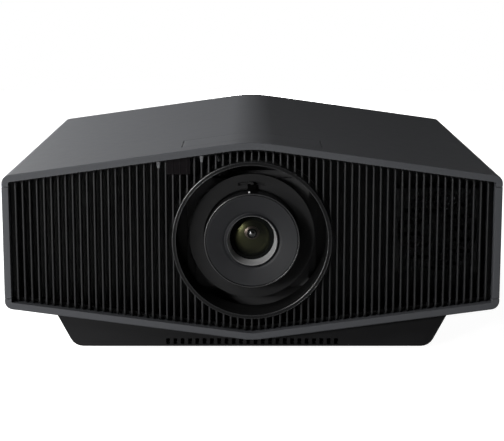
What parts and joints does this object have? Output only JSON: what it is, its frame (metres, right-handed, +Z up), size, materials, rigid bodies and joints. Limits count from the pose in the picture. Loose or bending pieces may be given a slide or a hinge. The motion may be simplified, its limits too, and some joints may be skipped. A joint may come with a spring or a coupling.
{
  "type": "home projector",
  "caption": "Home-cinema projector with a gabled housing, a slatted front around a large central lens, a lens shift mechanism, rear sockets and adjustable feet.",
  "frame": {"origin": "on the surface the projector stands on, under the middle of its bounding box", "axes": "+Z up, the lens looks along -Y, +X is on the right for someone who faces the lens"},
  "size_m": [0.46, 0.472, 0.2],
  "materials": {
    "cover": "fine-textured satin, dark grey",
    "grille": "matte black",
    "plinth": "matte black, fine texture",
    "ring": "semi-gloss black",
    "lens_black": "matte black",
    "lens_metal": "black anodised, satin",
    "coated_glass": "polished, anti-reflection coated",
    "clear_glass": "polished",
    "smoked_window": "polished, infrared-clear",
    "light_pipe": "frosted",
    "guard": "matte black paint",
    "rubber": "matte",
    "steel": "zinc-plated",
    "cast_aluminium": "die-cast, painted black",
    "heat_aluminium": "extruded",
    "button": "satin",
    "dial": "satin",
    "fan_black": "satin",
    "filter": "woven mesh in a frame",
    "socket_metal": "nickel-plated",
    "socket_black": "matte",
    "phosphor": "phosphor-coated",
    "circuit": "solder mask"
  },
  "bodies": {
    "root": {"top_cover": "cover", "left_side_panel": "cover", "right_side_panel": "cover", "bottom_case": "cover", "rear_panel": "grille", "base_plinth": "plinth", "front_grille": "grille", "lens_ring": "ring", "ir_receiver_window": "smoked_window", "light_pipe_left": "light_pipe", "light_pipe_right": "light_pipe", "exhaust_guard": "guard", "lens_mount_frame": "cast_aluminium", "rear_foot_left": "rubber", "rear_foot_right": "rubber", "control_panel": "socket_black", "ac_inlet": "socket_black", "hdmi_port_1": "socket_metal", "hdmi_port_2": "socket_metal", "usb_port": "socket_metal", "lan_port": "socket_metal", "serial_port": "socket_metal", "trigger_jack": "socket_black", "ir_jack": "socket_black", "exhaust_fan_frame": "fan_black", "intake_fan_frame": "fan_black", "intake_filter": "filter", "heat_sink": "heat_aluminium", "laser_light_source": "cast_aluminium", "optical_block": "cast_aluminium", "main_board": "circuit", "power_supply_board": "circuit"},
    "hatch": {"lens_shift_hatch": "cover"},
    "vertical_carriage": {"vertical_shift_carriage": "cast_aluminium"},
    "lens_body": {"horizontal_shift_carriage": "cast_aluminium", "lens_barrel": "lens_metal", "lens_shroud": "lens_black"},
    "zoom_ring": {"zoom_ring": "lens_black"},
    "zoom_group": {"zoom_lens_cell": "lens_metal", "zoom_element": "clear_glass"},
    "focus_ring": {"focus_ring": "lens_black"},
    "front_group": {"front_lens_cell": "lens_black", "front_element": "coated_glass"},
    "vertical_dial": {"vertical_shift_dial": "dial"},
    "horizontal_dial": {"horizontal_shift_dial": "dial"},
    "exhaust_rotor": {"exhaust_fan_rotor": "fan_black"},
    "intake_rotor": {"intake_fan_rotor": "fan_black"},
    "phosphor_wheel": {"phosphor_wheel": "phosphor"},
    "left_foot": {"front_foot_pad_left": "rubber", "front_foot_screw_left": "steel"},
    "right_foot": {"front_foot_pad_right": "rubber", "front_foot_screw_right": "steel"},
    "power_button": {"power_button": "button"},
    "input_button": {"input_button": "button"},
    "menu_button": {"menu_button": "button"},
    "left_button": {"left_button": "button"},
    "right_button": {"right_button": "button"},
    "up_button": {"up_button": "button"},
    "down_button": {"down_button": "button"},
    "enter_button": {"enter_button": "button"}
  },
  "joints": [
    {"name": "hatch_lift", "type": "slide", "parent": "root", "child": "hatch", "axis": [0, 0, 1], "range_m": [0, 0.04]},
    {"name": "lens_shift_vertical", "type": "slide", "parent": "root", "child": "vertical_carriage", "axis": [0, 0, 1], "range_m": [-0.0054, 0.0054]},
    {"name": "lens_shift_horizontal", "type": "slide", "parent": "vertical_carriage", "child": "lens_body", "axis": [1, 0, 0], "range_m": [-0.0034, 0.0034]},
    {"name": "vertical_dial_turn", "type": "hinge", "parent": "root", "child": "vertical_dial", "pos_m": [-0.03, -0.182, 0.18], "axis": [0, 0, 1], "range_deg": [-650, 650]},
    {"name": "horizontal_dial_turn", "type": "hinge", "parent": "root", "child": "horizontal_dial", "pos_m": [0.03, -0.182, 0.18], "axis": [0, 0, 1], "range_deg": [-410, 410]},
    {"name": "zoom_turn", "type": "hinge", "parent": "lens_body", "child": "zoom_ring", "pos_m": [0, -0.205, 0.1086], "axis": [0, 1, 0], "range_deg": [-12.1, 12.1]},
    {"name": "zoom_travel", "type": "slide", "parent": "lens_body", "child": "zoom_group", "axis": [0, 1, 0], "range_m": [-0.012, 0.012]},
    {"name": "focus_turn", "type": "hinge", "parent": "lens_body", "child": "focus_ring", "pos_m": [0, -0.225, 0.1086], "axis": [0, 1, 0], "range_deg": [-60, 60]},
    {"name": "focus_travel", "type": "slide", "parent": "lens_body", "child": "front_group", "axis": [0, 1, 0], "range_m": [-0.00149, 0.00149]},
    {"name": "exhaust_fan_spin", "type": "hinge", "parent": "root", "child": "exhaust_rotor", "pos_m": [0.175, -0.188, 0.112], "axis": [0, 1, 0], "continuous": true},
    {"name": "intake_fan_spin", "type": "hinge", "parent": "root", "child": "intake_rotor", "pos_m": [-0.135, 0.21, 0.104], "axis": [0, 1, 0], "continuous": true},
    {"name": "phosphor_wheel_spin", "type": "hinge", "parent": "root", "child": "phosphor_wheel", "pos_m": [0.092, -0.03, 0.105], "axis": [0, 1, 0], "continuous": true},
    {"name": "left_foot_extend", "type": "slide", "parent": "root", "child": "left_foot", "axis": [0, 0, -1], "range_m": [0, 0.0101]},
    {"name": "right_foot_extend", "type": "slide", "parent": "root", "child": "right_foot", "axis": [0, 0, -1], "range_m": [0, 0.0101]},
    {"name": "power_press", "type": "slide", "parent": "root", "child": "power_button", "axis": [-1, 0, 0], "range_m": [0, 0.0012], "stiffness_N_per_m": 400, "springref_m": -0.001},
    {"name": "input_press", "type": "slide", "parent": "root", "child": "input_button", "axis": [-1, 0, 0], "range_m": [0, 0.0012], "stiffness_N_per_m": 400, "springref_m": -0.001},
    {"name": "menu_press", "type": "slide", "parent": "root", "child": "menu_button", "axis": [-1, 0, 0], "range_m": [0, 0.0012], "stiffness_N_per_m": 400, "springref_m": -0.001},
    {"name": "left_press", "type": "slide", "parent": "root", "child": "left_button", "axis": [-1, 0, 0], "range_m": [0, 0.0012], "stiffness_N_per_m": 400, "springref_m": -0.001},
    {"name": "right_press", "type": "slide", "parent": "root", "child": "right_button", "axis": [-1, 0, 0], "range_m": [0, 0.0012], "stiffness_N_per_m": 400, "springref_m": -0.001},
    {"name": "up_press", "type": "slide", "parent": "root", "child": "up_button", "axis": [-1, 0, 0], "range_m": [0, 0.0012], "stiffness_N_per_m": 400, "springref_m": -0.001},
    {"name": "down_press", "type": "slide", "parent": "root", "child": "down_button", "axis": [-1, 0, 0], "range_m": [0, 0.0012], "stiffness_N_per_m": 400, "springref_m": -0.001},
    {"name": "enter_press", "type": "slide", "parent": "root", "child": "enter_button", "axis": [-1, 0, 0], "range_m": [0, 0.0012], "stiffness_N_per_m": 400, "springref_m": -0.001}
  ],
  "couplings": [
    {"joint": "vertical_dial_turn", "follows": "lens_shift_vertical", "rad_per_m": 2094.4},
    {"joint": "horizontal_dial_turn", "follows": "lens_shift_horizontal", "rad_per_m": 2094.4},
    {"joint": "zoom_turn", "follows": "zoom_travel", "rad_per_m": 17.45},
    {"joint": "focus_turn", "follows": "focus_travel", "rad_per_m": 700}
  ]
}
